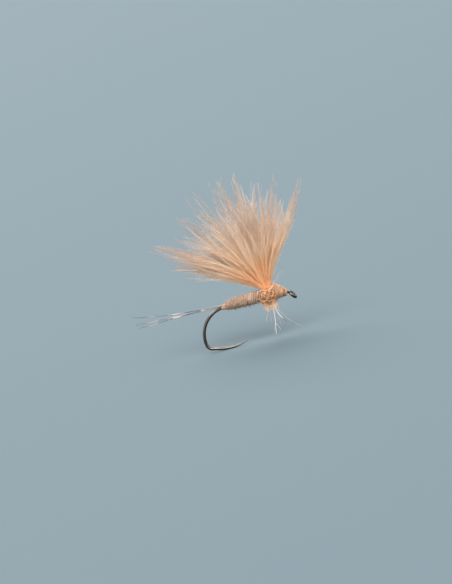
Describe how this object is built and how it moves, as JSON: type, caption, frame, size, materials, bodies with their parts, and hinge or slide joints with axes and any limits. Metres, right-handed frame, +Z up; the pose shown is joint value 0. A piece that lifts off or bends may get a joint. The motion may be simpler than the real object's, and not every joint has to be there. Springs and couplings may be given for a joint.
{
  "type": "dry fly",
  "caption": "Dry fly with a soft upright feather-barb wing, slim dubbed body, fine tail fibres and a barbless hook with a turned-down eye.",
  "frame": {"origin": "centre of the hook's eye", "axes": "+X forward along the shank from the bend to the eye, +Y across the hook, +Z up from the shank through the wing"},
  "size_m": [0.025, 0.0058, 0.0223],
  "materials": {
    "hook_wire": "dark bronzed, semi-gloss",
    "tying_thread": "fine waxed thread, satin",
    "body_dubbing": "spun fur dubbing, matte with loose fuzz",
    "thorax_dubbing": "coarse fur dubbing, rough",
    "tail_hackle": "barred hackle fibre, glossy",
    "leg_hackle": "pale stiff fibre, glossy",
    "feather_stem": "dyed feather stem, satin",
    "feather_barbs": "dyed downy barbs, translucent at the tips"
  },
  "bodies": {
    "root": {"hook": "hook_wire", "thread_foundation": "tying_thread", "tail_binding": "tying_thread", "wing_binding": "tying_thread", "head_thread": "tying_thread", "whip_finish": "tying_thread", "abdomen_dubbing": "body_dubbing", "thorax_dubbing": "thorax_dubbing", "tail_fibre_1": "tail_hackle", "tail_fibre_2": "tail_hackle", "tail_fibre_3": "tail_hackle", "tail_fibre_4": "tail_hackle", "tail_fibre_5": "tail_hackle", "tail_fibre_6": "tail_hackle", "leg_fibre_1": "leg_hackle", "leg_fibre_2": "leg_hackle", "leg_fibre_3": "leg_hackle", "leg_fibre_4": "leg_hackle", "leg_fibre_5": "leg_hackle", "leg_fibre_6": "leg_hackle", "wing_stem_1": "feather_stem", "wing_stem_2": "feather_stem", "wing_stem_3": "feather_stem", "wing_stem_4": "feather_stem", "wing_stem_5": "feather_stem", "wing_barbs_1": "feather_barbs", "wing_barbs_2": "feather_barbs", "wing_barbs_3": "feather_barbs", "wing_barbs_4": "feather_barbs", "wing_barbs_5": "feather_barbs"}
  },
  "joints": []
}
